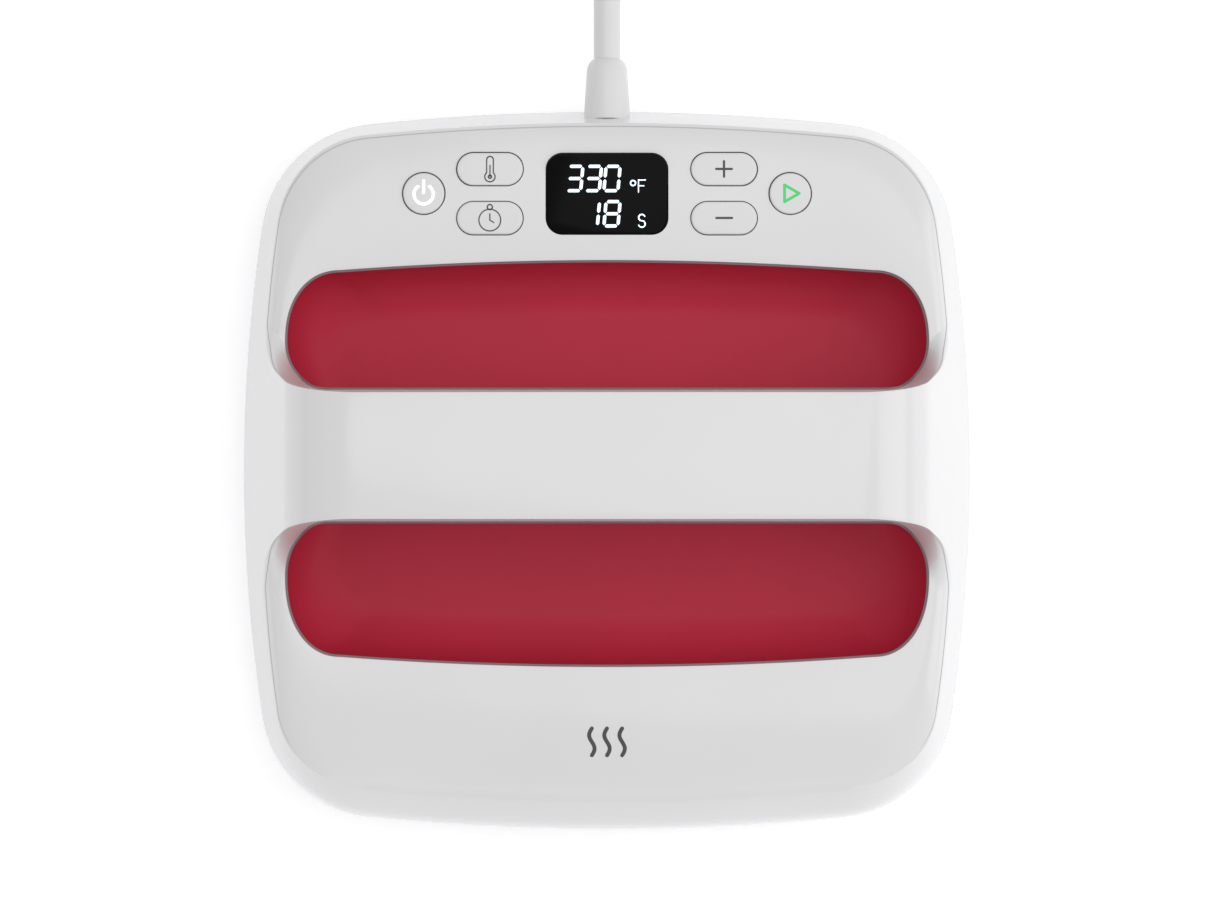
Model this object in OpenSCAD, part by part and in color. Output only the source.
// Hand-held flat heat press: heated plate, skirt, shell with an arched handle, six buttons,
// display, power electronics and a mains cord.
// Origin at the middle of the footprint on the underside of the plate, +Z up, +Y to the rear.

/* [Body] */
// Width across the widest point of the sides
body_w = 250; // [225:1:300]
// Depth from the front wall to the rear wall
body_d = 247; // [232:1:296]
// Height of the handle's highest point
handle_top = 115; // [108:1:138]
// Radius of the two bowed side walls in plan
side_r = 565; // [450:5:700]
// Radius of the bowed front and rear walls in plan
end_r = 800; // [650:10:1000]
// Radius of the four plan corners
corner_r = 42; // [38:1:50]
// Wall thickness of the shell
shell_wall = 2.4; // [1.8:0.1:3]
// Height where the shell's panel edge runs round
edge_z = 58; // [54:1:64]
// How far the panel edge stands in from the side walls
side_edge_inset = 9.6; // [8:0.2:12]
// How far the panel edge stands in from the rear wall
rear_edge_inset = 8; // [6:0.5:11]
// How far the soft front edge stands in from the front wall
front_edge_inset = 14.7; // [10:0.5:16]
// Rise of the panel from its edge to the hand well
panel_rise = 5; // [3:0.5:6]

/* [Skirt] */
// Gap between the table and the skirt's lower edge
skirt_lift = 4; // [2:0.5:6]
// Height of the seam between skirt and shell
seam_z = 24; // [22:0.5:27]
// Thickness of the skirt wall
skirt_wall = 2.6; // [2:0.1:4]
// Thickness of the deck that parts the hot side from the electronics
deck_t = 2.6; // [2:0.1:4]
// Height of the gasket that shows as a fine seam
gasket_t = 0.8; // [0.5:0.1:1.2]

/* [Handle and hand well] */
// Distance of the handle's middle behind the middle of the body
handle_y = 5.2; // [0:0.2:8]
// Half the width of the grip at the top of the handle
handle_half = 19.8; // [17:0.2:24]
// Radius of the bend between arm and grip
bend_r = 27; // [22:1:32]
// Radius of the grip's gentle crown
crown_r = 1624; // [1200:10:2400]
// Height of the lower edge of the shell along the grip
grip_edge_z = 95; // [90:1:98]
// Distance from the side wall to the end of the hand well
well_end_gap = 18.7; // [17:0.2:24]
// Depth of the rear panel, from the rear wall to the well
rear_panel_d = 53.8; // [50:0.5:58]
// Depth of the front apron, from the front wall to the well
front_apron_d = 58.9; // [52:0.5:62]
// Height of the tray's floor
tray_floor_z = 39; // [36:0.5:42]
// Wall thickness of the tray and the liner
liner_wall = 2; // [1.6:0.1:2.6]
// Depth of the liner's rounded belly below the shell's edge
liner_belly = 7; // [5:0.5:9]

/* [Plate] */
// Gap from the plate to the body's outline, all round
plate_margin = 10.7; // [9:0.1:14]
// Thickness of the cast plate
plate_t = 10; // [9:0.5:12]
// Corner radius of the plate
plate_corner_r = 40; // [38:1:50]
// Diameter of the tubular heating element
element_d = 6.5; // [5:0.1:7.5]
// Side of the heating element's outer loop
element_side = 150; // [110:1:170]
// Thickness of the insulation blanket
blanket_t = 8.6; // [6:0.1:8.8]

/* [Controls] */
// Width of the pill-shaped buttons
pill_w = 22.4; // [18:0.1:26]
// Depth of the pill-shaped buttons
pill_d = 11.5; // [9:0.1:14]
// Distance of the pill-shaped buttons from the middle
pill_x = 38.65; // [36:0.1:42]
// Distance between the two rows of pills
pill_pitch = 16.3; // [15:0.1:18]
// Diameter of the two round buttons
round_d = 14.3; // [11:0.1:16]
// Distance of the round buttons from the middle
round_x = 60.5; // [60:0.1:64]
// Distance from the rear wall to the middle of the controls
controls_back = 31.8; // [30:0.2:34]
// Travel of every button
press_travel = 0.5; // [0.3:0.1:0.8]
// Clearance round every button cap
cap_gap = 0.35; // [0.25:0.05:0.5]
// Width of the display lens
lens_w = 40.6; // [34:0.2:44]
// Depth of the display lens
lens_d = 27.4; // [22:0.2:30]
// Corner radius of the display lens
lens_r = 5.6; // [3:0.2:8]

/* [Cord] */
// Diameter of the mains cord
cord_d = 9; // [6:0.5:9]
// Height of the cord's exit above the table
cord_z = 40; // [38:1:42]
// Visible length of the strain relief
boot_l = 21; // [20:1:30]
// Diameter of the strain relief at the wall
boot_base_d = 15.8; // [13:0.2:18]
// Diameter of the strain relief at its tip
boot_tip_d = 13; // [11.5:0.2:15]
// Height of the cord coil's underside, which is the thickness of its tie
coil_lift = 1.2; // [1:0.1:2]
// Radius of the coil at the middle of its turns
coil_r = 48; // [46:1:54]

/* [Hidden] */

white = "whitesmoke";
red = "firebrick";
steel = "silver";
board_green = "seagreen";
$fn = 48;

// ---- small helpers ----
function dir(a) = [cos(a), sin(a)];
function mix(a, b, t) = a + (b - a) * t;
function ease(t) = let (c = min(1, max(0, t))) c * c * (3 - 2 * c);
// full ring from the half on the +X side, which runs from one point on X = 0 to the other
function closed(half) = concat(half, [for (i = [len(half) - 2 : -1 : 1])
    [-half[i][0], half[i][1], half[i][2]]]);
function tidy(p) = [for (c = p) round(c * 10000) / 10000];

// triangles between two rings of equal length, as point triples
function band(a, b) = [for (i = [0 : len(a) - 1]) let (j = (i + 1) % len(a))
    each [[a[i], a[j], b[j]], [a[i], b[j], b[i]]]];
// triangles between two open rows of equal length
function sheet(a, b) = [for (i = [0 : len(a) - 2])
    each [[a[i], a[i + 1], b[i + 1]], [a[i], b[i + 1], b[i]]]];
function bands(rings) = [for (i = [0 : len(rings) - 2]) each band(rings[i], rings[i + 1])];
function sheets(rows) = [for (i = [0 : len(rows) - 2]) each sheet(rows[i], rows[i + 1])];
function flipped(tris) = [for (t = tris) [t[0], t[2], t[1]]];

// a closed surface from point triples
module skin(tris) {
    polyhedron(points = [for (t = tris) each [tidy(t[0]), tidy(t[1]), tidy(t[2])]],
        faces = [for (i = [0 : len(tris) - 1]) [3 * i, 3 * i + 2, 3 * i + 1]], convexity = 8);
}

// a closed tube through rings, with flat ends
module loft(rings) {
    n = len(rings[0]);
    last = (len(rings) - 1) * n;
    polyhedron(points = [for (r = rings) each r], faces = concat(
        [for (k = [0 : len(rings) - 2], i = [0 : n - 1]) each let (j = (i + 1) % n, a = k * n, b = a + n)
            [[a + i, a + j, b + j], [a + i, b + j, b + i]]],
        [[for (i = [n - 1 : -1 : 0]) i], [for (i = [0 : n - 1]) last + i]]), convexity = 8);
}

// ---- plan outline: four shallow arcs joined by round corners ----
side_c = [body_w / 2 - side_r, 0];
end_c = [0, body_d / 2 - end_r];
link = end_c - side_c;
link_u = link / norm(link);
link_along = ((side_r - corner_r) ^ 2 - (end_r - corner_r) ^ 2 + norm(link) ^ 2) / (2 * norm(link));
corner_c = side_c + link_along * link_u
    + sqrt((side_r - corner_r) ^ 2 - link_along ^ 2) * [-link_u[1], link_u[0]];
side_a = atan2(corner_c[1], corner_c[0] - side_c[0]);
end_a = atan2(corner_c[1] - end_c[1], corner_c[0]);

// half-width of the arm where it leaves the panel edge, and how it narrows towards the top
arm_slope_half = 12;
arm_flare = 12;
arm_flare_power = 8;
flare_top_z = handle_top - 2;
function arm_half(z) = let (t = (flare_top_z - z) / (flare_top_z - edge_z))
    handle_half + (t > 0 ? arm_slope_half * t + arm_flare * pow(t, arm_flare_power) : 0);
arm_rear_a = asin((handle_y + arm_half(edge_z)) / (side_r - side_edge_inset));
arm_front_a = asin((handle_y - arm_half(edge_z)) / (side_r - side_edge_inset));

// stations round the outline: centre, radius and angle
function run(c, r, a, b, n) = [for (i = [0 : n - 1]) [c, r, mix(a, b, i / n)]];
rear_run = concat(run(end_c, end_r, 90, end_a, 5), run(corner_c, corner_r, end_a, side_a, 8),
    run(side_c, side_r, side_a, arm_rear_a, 3));
arm_steps = 6;
arm_run = run(side_c, side_r, arm_rear_a, arm_front_a, arm_steps);
front_run = concat(run(side_c, side_r, arm_front_a, -side_a, 3),
    run([corner_c[0], -corner_c[1]], corner_r, -side_a, -end_a, 8),
    run([0, -end_c[1]], end_r, -end_a, -90, 5), [[[0, -end_c[1]], end_r, -90]]);
outline_run = concat(rear_run, arm_run, front_run);
function at(s, inset) = s[0] + (s[1] - inset) * dir(s[2]);
function outline(inset) = [for (p = closed([for (s = outline_run) concat(at(s, inset), 0)])) [p[0], p[1]]];

// ---- shell walls ----
seam_inset = 1;
crease_inset = 1.6;
crease_z = seam_z + 10;
shell_z = seam_z + gasket_t;
front_bulge = 3;
function edge_inset(s) = mix(side_edge_inset, s[2] > 0 ? rear_edge_inset : front_edge_inset,
    sin(s[2]) ^ 2);
function wall_point(s, t, o) = concat(at(s, mix(crease_inset, edge_inset(s), t)
    - (s[2] < 0 ? front_bulge * sin(180 * t) * sin(s[2]) ^ 2 : 0) + o), mix(crease_z, edge_z - o, t));
function wall_half(t, o) = [for (s = outline_run) wall_point(s, t, o)];
function seam_half(o) = [for (s = outline_run) concat(at(s, seam_inset + o), shell_z)];

// ---- arch of the handle, in the XZ plane ----
arm_lean = atan((side_edge_inset - crease_inset) / (edge_z - crease_z));
arm_n = dir(arm_lean);
arm_dist = arm_n * [body_w / 2 - side_edge_inset, edge_z];
crown_c = [0, handle_top - crown_r];
arm_t = [-arm_n[1], arm_n[0]];
bend_from = arm_n * (arm_dist - bend_r);
bend_q = bend_from - crown_c;
bend_c = bend_from + arm_t * (-bend_q * arm_t
    + sqrt((bend_q * arm_t) ^ 2 - bend_q * bend_q + (crown_r - bend_r) ^ 2));
bend_end_a = atan2(bend_c[1] - crown_c[1], bend_c[0]);
line_steps = 3;
bend_steps = 5;
crown_steps = 4;
function arch(o) = let (foot = [body_w / 2 - side_edge_inset - o, edge_z - o],
    joint = bend_c + (bend_r - o) * arm_n) concat(
    [for (i = [0 : line_steps - 1]) mix(foot, joint, i / line_steps)],
    [for (i = [0 : bend_steps - 1]) bend_c + (bend_r - o) * dir(mix(arm_lean, bend_end_a, i / bend_steps))],
    [for (i = [0 : crown_steps]) crown_c + (crown_r - o) * dir(mix(bend_end_a, 90, i / crown_steps))]);
grip_round = 1;
// point on the arch's skin: v runs from 1 at the rear edge to -1 at the front edge
function arch_point(p, v, o) = let (z = p[1], y = handle_y + v * (arm_half(max(z, edge_z)) - o),
    up = (z - edge_z) / (handle_top - edge_z),
    bow = (side_r - sqrt(side_r ^ 2 - y ^ 2)) * (1 - ease(up)))
    [p[0] - (p[0] > 0 ? bow * min(1, p[0] / corner_r) : 0), y, z - grip_round * v * v * ease(up)];
function arch_row(i, o) = i == 0 ? [for (s = concat(arm_run, [front_run[0]])) wall_point(s, 1, o)]
    : [for (j = [0 : arm_steps]) arch_point(arch(o)[i], 1 - 2 * j / arm_steps, o)];
arch_rows = line_steps + bend_steps + crown_steps;

// ---- openings of the hand well ----
wall_flare = 1.2;
well_x = body_w / 2 - well_end_gap;
well_bow = 3.3;
well_end_r = 18.5;
well_far_share = 0.58;
well_square = 2.2;
well_z = edge_z + panel_rise;
rear_far = body_d / 2 - rear_panel_d;
front_far = front_apron_d - body_d / 2;
function near_y(side) = handle_y + side * (handle_half + wall_flare);
function far_y(side) = side > 0 ? rear_far : front_far;
// each end is two quarter curves: a deep one on the panel's side and a short one on the grip's
function well_depth(side) = abs(far_y(side) - near_y(side)) - well_bow;
function well_far_r(side) = well_depth(side) * well_far_share;
function well_near_r(side) = well_depth(side) * (1 - well_far_share);
well_cx = well_x - well_end_r;
function well_cy(side) = near_y(side) + side * well_near_r(side);
function fuller(c) = sign(c) * pow(abs(c), 2 / well_square);
// share of the climb from the panel up to the grip, by distance from the middle
climb_start = 4;
climb_end = 17.5;
function climb(x) = ease((well_x - climb_start - x) / (climb_end - climb_start));
far_steps = 7;
quad_steps = 9;
// far edge and outer quarter of a well, from the middle outwards
function well_far(side, o) = concat(
    [for (i = [0 : far_steps - 1]) let (t = i / far_steps)
        [well_cx * t, far_y(side) - side * well_bow * t * t, well_z - o]],
    [for (i = [0 : quad_steps - 1]) let (a = 90 - 90 * i / quad_steps)
        [well_cx + well_end_r * fuller(cos(a)), well_cy(side) + side * well_far_r(side) * fuller(sin(a)),
            well_z - o]]);
// inner quarter and the edge along the grip, from the well's end to the middle
function well_near(side, o) = let (n = line_steps + bend_steps) concat(
    [for (i = [0 : n - 1]) let (a = -90 * i / n, x = well_cx + well_end_r * fuller(cos(a)), k = climb(x))
        [x, well_cy(side) + side * (well_near_r(side) * fuller(sin(a)) - k * o),
            mix(well_z - o * (1 - k), grip_edge_z, k)]],
    [for (i = [0 : crown_steps]) [well_cx * (1 - i / crown_steps), near_y(side) - side * o, grip_edge_z]]);
function well_half(side, o) = concat(well_far(side, o), well_near(side, o));

// outer boundary of the same band: the panel edge and then the arm's edge up to the crown
function scoop_half(side, o) = concat(
    side > 0 ? [for (s = rear_run) wall_point(s, 1, o)]
        : [for (i = [len(front_run) - 1 : -1 : 1]) wall_point(front_run[i], 1, o)],
    [wall_point(side > 0 ? arm_run[0] : front_run[0], 1, o)],
    [for (i = [1 : arch_rows]) arch_point(arch(o)[i], side, o)]);
far_count = far_steps + quad_steps;
function scoop_ring(side, t, o) = let (e = scoop_half(side, o), w = well_half(side, o))
    [for (i = [0 : len(e) - 1]) let (
        panel = i < far_count ? 1 : 1 - ease((i - far_count) / line_steps), p = mix(e[i], w[i], t))
        [p[0], p[1], p[2] + panel * panel_rise * (1 - pow(1 - t, 3) - t)]];
scoop_steps = 4;
function scoop(side, o) = let (rings = [for (k = [0 : scoop_steps])
    closed(scoop_ring(side, k / scoop_steps, o))]) side > 0 ? bands(rings) : flipped(bands(rings));

wall_steps = 3;
function wall_rings(o) = [for (k = [0 : wall_steps]) closed(wall_half(k / wall_steps, o))];
function shell_layer(o) = concat(
    flipped(bands(concat([closed(seam_half(o))], wall_rings(o)))),
    flipped(scoop(1, o)), flipped(scoop(-1, o)),
    flipped(sheets([for (i = [0 : arch_rows]) arch_row(i, o)])),
    sheets([for (i = [0 : arch_rows]) [for (p = arch_row(i, o)) [-p[0], p[1], p[2]]]]));
function shell_rims(o) = concat(
    band(closed(seam_half(0)), closed(seam_half(o))),
    flipped(band(closed(well_half(1, 0)), closed(well_half(1, o)))),
    band(closed(well_half(-1, 0)), closed(well_half(-1, o))));

// ---- places of the controls and boards ----
controls_y = body_d / 2 - controls_back;
function panel_z(y) = edge_z + panel_rise * (1 - pow(max(0, (y - rear_far)
    / (body_d / 2 - rear_edge_inset - rear_far)), 3));
// x, y and whether the cap is round
power_at = [-round_x, controls_y, true];
temperature_at = [-pill_x, controls_y + pill_pitch / 2, false];
timer_at = [-pill_x, controls_y - pill_pitch / 2, false];
plus_at = [pill_x, controls_y + pill_pitch / 2, false];
minus_at = [pill_x, controls_y - pill_pitch / 2, false];
start_at = [round_x, controls_y, true];
buttons = [power_at, temperature_at, timer_at, plus_at, minus_at, start_at];
board_w = 2 * (round_x + round_d / 2 + 12);
board_d = 34;
board_t = 1.6;
board_z = edge_z - 12;
board_top = board_z + board_t;
switch_w = 6;
switch_h = 3.5;
plunger_d = 3.2;
plunger_z = board_top + 2;
plunger_top = board_top + 5;
cap_proud = 0.6;

module pill(w, d) {
    for (s = [-1, 1]) translate([s * (w - d) / 2, 0]) circle(d = d);
    square([w - d, d], center = true);
}
module rounded(w, d, r) {
    square([w - 2 * r, d], center = true);
    square([w, d - 2 * r], center = true);
    for (x = [-1, 1], y = [-1, 1]) translate([x * (w / 2 - r), y * (d / 2 - r)]) circle(r = r);
}
module slab(size, z) { translate([0, 0, z + size[2] / 2]) cube(size, center = true); }
module post(p, d, z0, z1) { translate([p[0], p[1], z0]) cylinder(d = d, h = z1 - z0); }
module screws(points, head_z, length, d, head_d, head_h) {
    for (p = points) {
        post(p, head_d, head_z, head_z + head_h);
        post(p, d, head_z - length, head_z);
    }
}
// screws driven from below, with their heads underneath
module screws_up(points, head_z, length, d, head_d, head_h) {
    for (p = points) {
        post(p, head_d, head_z - head_h, head_z);
        post(p, d, head_z, head_z + length);
    }
}

// ---- hot side ----
plate_w = body_w - 2 * plate_margin;
plate_d = body_d - 2 * (plate_margin - 1.5);
standoff_d = 12;
screw_d = 3;
standoff_in = 24;
standoffs = [for (x = [-1, 1], y = [-1, 1])
    [x * (plate_w / 2 - standoff_in), y * (plate_d / 2 - standoff_in)]];
element_z = plate_t - element_d / 2;
element_bend = 24;
clamp_t = 1.2;
shield_t = 1;
deck_z = seam_z - deck_t;
shield_z = deck_z - shield_t;
blanket_z = plate_t + clamp_t;
stack_w = plate_w - 26;
stack_d = plate_d - 26;
lead_gap = 18;
lead_x = lead_gap - 8;
lead_hole = 10;

module element_path(d) {
    c = element_side / 2 - element_bend;
    translate([0, 0, element_z]) {
        for (x = [-1, 1], y = [-1, 1]) translate([x * c, y * c, 0])
            mirror([x < 0 ? 1 : 0, 0, 0]) mirror([0, y < 0 ? 1 : 0, 0])
            rotate_extrude(angle = 90) translate([element_bend, 0]) circle(d = d);
        for (x = [-1, 1]) translate([x * element_side / 2, c, 0]) rotate([90, 0, 0])
            cylinder(d = d, h = 2 * c);
        translate([-c, -element_side / 2, 0]) rotate([0, 90, 0]) cylinder(d = d, h = 2 * c);
        for (x = [-1, 1]) translate([x > 0 ? lead_gap : -c, element_side / 2, 0]) rotate([0, 90, 0])
            cylinder(d = d, h = c - lead_gap);
    }
}
module heat_plate() {
    color("gray") difference() {
        linear_extrude(plate_t) rounded(plate_w, plate_d, plate_corner_r);
        element_path(element_d);
        translate([0, 0, element_z]) linear_extrude(plate_t) difference() {
            rounded(element_side + element_d, element_side + element_d, element_bend + element_d / 2);
            rounded(element_side - element_d, element_side - element_d, element_bend - element_d / 2);
        }
        for (p = standoffs) post(p, screw_d, plate_t - 6, plate_t + 1);
    }
}
module heating_element() { color(steel) element_path(element_d - 0.1); }
module stack_sheet(t, z, hole) {
    translate([0, 0, z]) linear_extrude(t) difference() {
        rounded(stack_w, stack_d, plate_corner_r - 8);
        for (p = standoffs) translate(p) circle(d = hole);
        for (x = [-1, 1]) translate([x * lead_x, element_side / 2]) circle(d = lead_hole);
    }
}
module element_clamp_plate() { color(steel) stack_sheet(clamp_t, plate_t, standoff_d + 4); }
module insulation_blanket() {
    color("ivory") stack_sheet(min(blanket_t, shield_z - blanket_z), blanket_z, standoff_d + 2);
}
module heat_shield() { color("lightgray") stack_sheet(shield_t, shield_z, standoff_d + 2); }
module plate_standoffs() {
    color("linen") for (p = standoffs) difference() {
        post(p, standoff_d, plate_t, deck_z);
        post(p, screw_d, plate_t - 1, deck_z + 1);
    }
}
module plate_screws() {
    color(steel) screws(standoffs, seam_z, seam_z - plate_t + 5, screw_d, 6.5, 2);
}

// ---- skirt frame and gasket ----
shell_boss_d = 8;
shell_screw_r = body_w / 2 - 8;
shell_points = [for (x = [-1, 1], y = [-1, 1]) [x * shell_screw_r, y * 44 + handle_y]];
bay_y = controls_y;
power_w = board_w - 20;
power_d = 26;
power_t = 1.6;
power_z = seam_z + 5;
power_points = [for (x = [-1, 1], y = [-1, 1]) [x * (power_w / 2 - 6), bay_y + y * (power_d / 2 - 4)]];
clamp_y = body_d / 2 - 15;
clamp_w = 28;
clamp_d = 8;
clamp_low = cord_z - cord_d / 2 - 0.5;
clamp_h = cord_d + 3;
clamp_points = [for (x = [-1, 1]) [x * (clamp_w / 2 - 3), clamp_y]];
module base_frame() {
    color(white) difference() {
        union() {
            translate([0, 0, skirt_lift]) linear_extrude(seam_z - skirt_lift) polygon(outline(0));
            for (p = power_points) post(p, 6, seam_z - 1, power_z);
            for (p = control_points) post(p, 6, seam_z - 1, board_z);
            for (p = clamp_points) post(p, 6, seam_z - 1, clamp_low);
        }
        translate([0, 0, skirt_lift - 1]) linear_extrude(deck_z - skirt_lift + 1)
            polygon(outline(skirt_wall));
        for (p = standoffs) post(p, screw_d, deck_z - 1, seam_z + 1);
        for (p = shell_points) post(p, screw_d, deck_z - 1, seam_z + 1);
        for (p = power_points) post(p, 2, seam_z, power_z + 1);
        for (p = control_points) post(p, 2, board_z - 6, board_z + 1);
        for (p = clamp_points) post(p, 2, seam_z, cord_z);
        for (x = [-1, 1]) post([x * lead_x, element_side / 2], lead_hole, deck_z - 1, seam_z + 1);
    }
}
module frame_gasket() {
    color("dimgray") translate([0, 0, seam_z]) linear_extrude(gasket_t) difference() {
        polygon(outline(seam_inset + 0.8));
        polygon(outline(seam_inset + shell_wall + 0.8));
    }
}

// ---- shell, tray and liner ----
handle_screw_x = 60;
handle_points = [for (x = [-1, 1]) [x * handle_screw_x, handle_y]];
control_points = [for (x = [-1, 1], y = [-1, 1]) [x * (board_w / 2 - 3.5), bay_y + y * (board_d / 2 - 7)]];
module cap_hole(b, grow) {
    translate([b[0], b[1]])
        if (b[2]) circle(d = round_d + 2 * grow); else pill(pill_w + 2 * grow, pill_d + 2 * grow);
}
module upper_shell() {
    $fn = 24;
    // resize with no change keeps the curved skin and its cuts as one closed mesh
    color(white) resize([0, 0, 0]) difference() {
        union() {
            skin(concat(shell_layer(0), flipped(shell_layer(shell_wall)), shell_rims(shell_wall)));
            for (p = handle_points) post(p, 7, grip_edge_z + 2, handle_top - 2);
            for (p = shell_points) translate([0, 0, shell_z]) linear_extrude(9) intersection() {
                polygon(outline(seam_inset + shell_wall / 2));
                translate(p) circle(d = shell_boss_d);
            }
        }
        for (b = buttons) translate([0, 0, edge_z - 5]) linear_extrude(20) cap_hole(b, 0);
        translate([0, controls_y, edge_z - 5]) linear_extrude(20) rounded(lens_w, lens_d, lens_r);
        for (p = handle_points) post(p, 2.6, grip_edge_z, handle_top - 5);
        for (p = shell_points) post(p, 2.6, shell_z - 1, shell_z + 10);
        translate([0, body_d / 2 - 14, cord_z]) rotate([-90, 0, 0]) cylinder(d = neck_d + 0.3, h = 20);
    }
}
// the tray's rim follows both wells and draws in under the arms
arm_waist = 10;
rim_gap = 0.4;
rim_z = well_z - shell_wall - rim_gap;
waist_steps = 10;
function waist(y) = arm_waist * sin(180 * (y - well_cy(-1)) / (well_cy(1) - well_cy(-1))) ^ 2;
function rim_half() = concat(well_far(1, 0),
    [for (i = [0 : waist_steps]) let (y = mix(well_cy(1), well_cy(-1), i / waist_steps))
        [well_x - waist(y), y, 0]],
    [for (i = [far_count - 1 : -1 : 0]) well_far(-1, 0)[i]]);
// a ring of the bowl: k runs from the rim (0) to the floor (1), o is the wall's outward step
floor_in = 17;
function bowl_ring(k, o) = let (mid = (rear_far + front_far) / 2, c = rim_half(),
    fall = sin(90 * k), pull = floor_in * (1 - cos(90 * k)) - o,
    hx = well_x, hy = (rear_far - front_far) / 2)
    closed([for (p = c) [p[0] * (hx - pull) / hx, mid + (p[1] - mid) * (hy - pull) / hy,
        mix(rim_z, tray_floor_z, fall) - (k == 0 ? 0 : o)]]);
bowl_steps = 5;
module grip_tray() {
    color(red) loft(concat([for (k = [bowl_steps : -1 : 0]) bowl_ring(k / bowl_steps, liner_wall)],
        [for (k = [0 : bowl_steps]) bowl_ring(k / bowl_steps, 0)]));
}
// cross-section of the liner at one step from its foot on the tray's rim to the crown
liner_side = 8;
liner_turn = 0.3;
lip = 0.09;
near_last = line_steps + bend_steps + crown_steps;
liner_first = [for (i = [0 : near_last]) if (climb(well_near(1, 0)[i][0]) > 0) i][0];
function liner_base(i, s, o, belly) = let (a = well_near(1, 0)[i], b = well_near(-1, 0)[i],
    foot = i == liner_first, k = climb(a[0]), y = mix(a[1], b[1], s),
    d = dir(foot ? 0 : 90 * ease((k - liner_turn) / (1 - liner_turn))),
    sag = (foot ? waist(y) - well_x + a[0] : rim_gap + belly * sin(180 * s)) - o)
    [a[0] - d[0] * sag, y, foot ? well_z - shell_wall - rim_gap / 2
        : mix(a[2], b[2], s) - d[1] * sag - (1 - k) * shell_wall];
function liner_ring(i) = concat(
    [for (j = [0 : liner_side]) liner_base(i, j / liner_side, 0, liner_belly)],
    [liner_base(i, 1 - lip, 0, 0)],
    [for (j = [liner_side - 1 : -1 : 1]) liner_base(i, mix(lip, 1 - lip, (j - 1) / (liner_side - 2)),
        liner_wall, j == liner_side - 1 || j == 1 ? 0 : liner_belly)],
    [liner_base(i, lip, 0, 0)]);
liner_rings = [for (i = [liner_first : near_last]) liner_ring(i)];
module handle_liner() {
    n = len(liner_rings) - 1;
    color(red) difference() {
        loft([for (k = [0 : 2 * n]) k >= n ? liner_rings[2 * n - k]
            : [for (p = liner_rings[k]) [-p[0], p[1], p[2]]]]);
        for (p = handle_points) post(p, screw_d, grip_edge_z - 20, grip_edge_z + 10);
    }
}
module handle_screws() {
    color(steel) screws_up(handle_points, grip_edge_z - liner_belly + liner_wall, 18, 2.6, 2.9, 2);
}
module shell_screws() { color(steel) screws_up(shell_points, deck_z, 12.5, 2.6, 6, 0.9); }

// ---- display ----
lens_t = 1.6;
lens_top = panel_z(controls_y) - 0.4;
lens_gap = 0.3;
lcd_t = 2.4;
lcd_w = lens_w - 7;
lcd_d = lens_d - 6;
diffuser_t = 1.8;
holder_top = lens_top - lens_t - 0.8;
module on_display(z, t) { translate([0, controls_y, z]) linear_extrude(t) children(); }
module display_lens() {
    color("black") on_display(lens_top - lens_t, lens_t)
        rounded(lens_w - 2 * lens_gap, lens_d - 2 * lens_gap, lens_r);
}
module lens_gasket() {
    color("dimgray") on_display(holder_top, lens_top - lens_t - holder_top) difference() {
        rounded(lens_w - 1, lens_d - 1, lens_r);
        rounded(lens_w - 5, lens_d - 5, lens_r - 1);
    }
}
module lcd_panel() {
    color("darkslategray") on_display(holder_top - lcd_t, lcd_t) square([lcd_w, lcd_d], center = true);
}
module backlight_diffuser() {
    color(white) on_display(holder_top - lcd_t - diffuser_t, diffuser_t)
        square([lcd_w, lcd_d], center = true);
}
module lcd_holder() {
    color("dimgray") on_display(board_top, holder_top - board_top) difference() {
        rounded(lens_w - 0.8, lens_d - 0.8, lens_r - 0.4);
        square([lcd_w + 0.4, lcd_d + 0.4], center = true);
    }
}

// ---- control board ----
module control_board() {
    color(board_green) difference() {
        translate([0, bay_y, 0]) slab([board_w, board_d, board_t], board_z);
        translate([0, clamp_y, 0]) slab([clamp_w + 2, clamp_d + 2, 3 * board_t], board_z - board_t);
        for (p = control_points) post(p, 2.4, board_z - 1, board_top + 1);
    }
}
module switch_bodies() {
    color("dimgray") for (b = buttons) difference() {
        translate([b[0], b[1], 0]) slab([switch_w, switch_w, switch_h], board_top);
        post(b, plunger_d + 0.6, plunger_z - press_travel - 0.2, board_top + switch_h + 1);
    }
}
module buzzer() { color("black") post([board_w / 2 - 32, bay_y - board_d / 2 + 6], 9, board_z - 5, board_z); }
chip_t = 1.4;
module microcontroller() {
    color("black") translate([-board_w / 4, bay_y, 0]) slab([10, 10, chip_t], board_z - chip_t);
}
module control_board_screws() { color(steel) screws(control_points, board_top, board_t + 4, 2, 4, 1.4); }
ribbon_x = -40;
module ribbon_cable() {
    color("lightgray") translate([ribbon_x, bay_y - 10, 0]) slab([14, 1, board_z - power_top], power_top);
}

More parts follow.
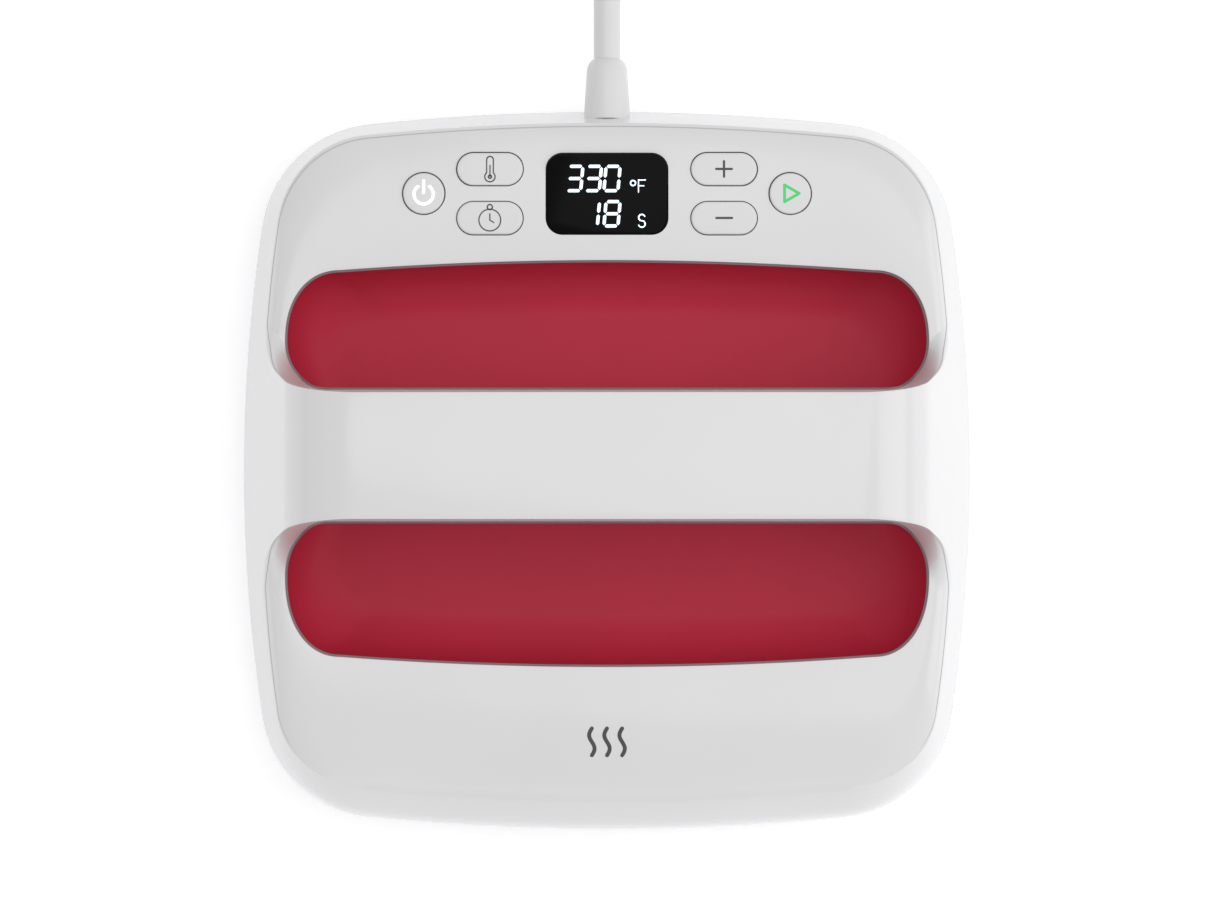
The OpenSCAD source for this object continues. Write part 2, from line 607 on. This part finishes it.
// ---- power board ----
power_top = power_z + power_t;
part_h = board_z - power_top - 2;
module power_board() {
    color(board_green) difference() {
        translate([0, bay_y, 0]) slab([power_w, power_d, power_t], power_z);
        for (p = power_points) post(p, 2.4, power_z - 1, power_top + 1);
    }
}
module on_board(x, y, size) { translate([x, bay_y + y, 0]) slab(size, power_top); }
module heat_sink() {
    color("gray") {
        on_board(-45, 5, [30, 3, part_h]);
        for (i = [0 : 4]) on_board(-57 + 6 * i, 9.4, [1.4, 6, part_h]);
    }
}
module triac() { color("black") on_board(-45, 1.2, [10, 4.6, part_h - 2]); }
module relay() { color("royalblue") on_board(-20, -5, [19, 15.5, min(part_h, 13)]); }
module filter_capacitor() { color("goldenrod") on_board(6, -6, [18, 8, 11]); }
fuse_x = 33;
module mains_fuse() {
    color("linen") translate([fuse_x, bay_y - 9, power_top + 3]) rotate([0, 90, 0])
        cylinder(d = 5.2, h = 20, center = true);
    color(steel) for (x = [-1, 1]) on_board(fuse_x + 8 * x, -9, [3, 6, 0.4]);
}
block_x = 30;
block_y = 7;
block_d = 9;
block_rear = bay_y + block_y + block_d / 2;
module terminal_block() { color("seagreen") on_board(block_x, block_y, [22, block_d, 9]); }
module power_board_screws() { color(steel) screws(power_points, power_top, 5, 2, 4, 1.6); }

// ---- sensors and leads ----
module thermistor() { color("black") post([0, 0], 5, plate_t - 4, plate_t); }
module thermal_cutout() { color(steel) post([0, element_side / 2 - 22], 8, plate_t - 4, plate_t); }
lead_sides = 6;
// every tube runs in a plane that X doesn't lie in, so X sets where each ring starts
function ring_at(p, t, r, n) = let (u = cross(t, [1, 0, 0]), a = u / norm(u), b = cross(t, a))
    [for (i = [0 : n - 1]) p + r * (a * cos(360 * i / n) + b * sin(360 * i / n))];
function along(pts, i) = let (d = pts[min(i + 1, len(pts) - 1)] - pts[max(i - 1, 0)]) d / norm(d);
module tube(pts, d, n) { loft([for (i = [len(pts) - 1 : -1 : 0]) ring_at(pts[i], along(pts, i), d / 2, n)]); }
// two leads rise from the element's ends through the deck to the terminal block
module element_leads() {
    y = element_side / 2;
    color("white") for (x = [-1, 1] * lead_x)
        tube([[x, y, plate_t + 1], [x, y, seam_z + 1], [x, y + 3, seam_z + 3]], 2.6, lead_sides);
}
module sensor_leads() {
    color("goldenrod") for (x = [-1, 1] * (lead_x + 3))
        tube([[x, element_side / 2, plate_t + 1], [x, element_side / 2, seam_z + 1]], 1.6, lead_sides);
}
module earth_lead() {
    color("yellowgreen") tube([[block_x, block_rear + 0.5, power_top + 5], [block_x, clamp_y - 1, power_top + 4],
        [block_x, clamp_y + 1, power_top], [block_x, clamp_y + 1, seam_z]], 2.4, lead_sides);
}

// ---- cord, strain relief, coil and plug ----
neck_d = 12;
flange_boot_d = 16;
wall_y = body_d / 2 - 5;
module along_y(y) { translate([0, y, cord_z]) rotate([-90, 0, 0]) children(); }
module cord_clamp() {
    color("dimgray") difference() {
        translate([0, clamp_y, 0]) slab([clamp_w, clamp_d, clamp_h], clamp_low);
        along_y(clamp_y - clamp_d) cylinder(d = cord_d, h = 2 * clamp_d);
        translate([0, clamp_y, 0]) slab([cord_d, clamp_d + 2, cord_z - clamp_low + 1], clamp_low - 1);
        for (p = clamp_points) post(p, 2.4, clamp_low - 1, clamp_low + clamp_h + 1);
    }
}
module cord_clamp_screws() { color(steel) screws(clamp_points, clamp_low + clamp_h, clamp_h + 8, 2, 4, 1.6); }
module inner_cord() { color("white") along_y(clamp_y - 8) cylinder(d = cord_d, h = wall_y - clamp_y + 8); }
module strain_relief() {
    color(white) along_y(wall_y - 6) rotate_extrude() difference() {
        union() {
            square([flange_boot_d / 2, 2.6]);
            square([neck_d / 2, 8]);
            polygon([[0, 5], [boot_base_d / 2, 5], [boot_tip_d / 2 + 0.3, boot_l + 2.5],
                [boot_tip_d / 2 - 0.8, boot_l + 4.6], [boot_tip_d / 2 - 2, boot_l + 5.5], [0, boot_l + 5.5]]);
        }
        square([cord_d / 2, 60]);
    }
}
// the cord's own route from the tip of the strain relief to the coil, on its middle line
coil_x = -coil_r;
coil_y = 280;
cord_route = [[0, 150, 40], [0, 160, 40], [0, 170, 39.5], [0, 180, 37.5], [0, 190, 34],
    [0, 200, 29.5], [0, 210, 24], [0, 220, 18.5], [0, 230, 13.5], [0, 240, 9.5], [0, 250, 7],
    [0, 260, 6], [0, 270, 5.7], [0, 280, 5.7]];
cord_sides = 10;
module power_cord() {
    color("white") tube(concat([[0, wall_y, cord_z]], cord_route), cord_d, cord_sides);
}
coil_wide = 2 * cord_d;
coil_high = 3 * cord_d;
module cord_coil() {
    color("white") translate([coil_x, coil_y, coil_lift]) rotate_extrude()
        translate([coil_r - coil_wide / 2, 0]) square([coil_wide, coil_high]);
}
tie_w = 14;
tie_t = 1.2;
module cord_tie() {
    color("dimgray") translate([coil_x - coil_r, coil_y, 0]) difference() {
        slab([coil_wide + 2 * tie_t + 3, tie_w, coil_high + coil_lift + tie_t + 0.4], 0);
        slab([coil_wide + 3, tie_w + 2, coil_high + 0.4], coil_lift);
    }
}
plug_l = 36;
plug_w = 26;
plug_h = 22;
plug_z = coil_lift + coil_high;
plug_y = coil_y - 24;
// radius of the curl that brings the cord's end over the coil and into the plug
curl_r = 37;
plug_x = coil_x + coil_r - 2 * curl_r;
module plug_body() {
    color("white") translate([plug_x, plug_y, plug_z]) rotate([90, 0, 0]) translate([0, plug_h / 2, 0])
        linear_extrude(plug_l) rounded(plug_w, plug_h, 6);
}
blade_l = 17;
module plug_pins() {
    color(steel) translate([plug_x, plug_y - plug_l, plug_z + plug_h / 2]) {
        for (x = [-1, 1]) translate([x * 6.35, -blade_l / 2, 2]) cube([1.5, blade_l, 6.3], center = true);
        translate([0, 0, -6]) rotate([90, 0, 0]) cylinder(d = 4.8, h = blade_l + 3);
    }
}

// ---- button caps and switch plungers ----
module cap(b) {
    top = panel_z(b[1]) + cap_proud;
    base = edge_z - 4;
    color("white") {
        translate([0, 0, base]) linear_extrude(top - base) cap_hole(b, -cap_gap);
        post(b, 4, plunger_top, base);
    }
}
module plunger(b) { color("black") post(b, plunger_d, plunger_z, plunger_top); }
module power_button() { cap(power_at); }
module temperature_button() { cap(temperature_at); }
module timer_button() { cap(timer_at); }
module plus_button() { cap(plus_at); }
module minus_button() { cap(minus_at); }
module start_button() { cap(start_at); }
module power_plunger() { plunger(power_at); }
module temperature_plunger() { plunger(temperature_at); }
module timer_plunger() { plunger(timer_at); }
module plus_plunger() { plunger(plus_at); }
module minus_plunger() { plunger(minus_at); }
module start_plunger() { plunger(start_at); }

heat_plate();
heating_element();
element_clamp_plate();
insulation_blanket();
heat_shield();
plate_standoffs();
plate_screws();
base_frame();
frame_gasket();
upper_shell();
grip_tray();
handle_liner();
handle_screws();
shell_screws();
display_lens();
lens_gasket();
lcd_panel();
backlight_diffuser();
lcd_holder();
control_board();
switch_bodies();
buzzer();
microcontroller();
control_board_screws();
ribbon_cable();
power_board();
triac();
heat_sink();
relay();
filter_capacitor();
mains_fuse();
terminal_block();
power_board_screws();
thermistor();
thermal_cutout();
element_leads();
sensor_leads();
earth_lead();
cord_clamp();
cord_clamp_screws();
inner_cord();
strain_relief();
power_cord();
cord_coil();
cord_tie();
plug_body();
plug_pins();
power_button();
temperature_button();
timer_button();
plus_button();
minus_button();
start_button();
power_plunger();
temperature_plunger();
timer_plunger();
plus_plunger();
minus_plunger();
start_plunger();
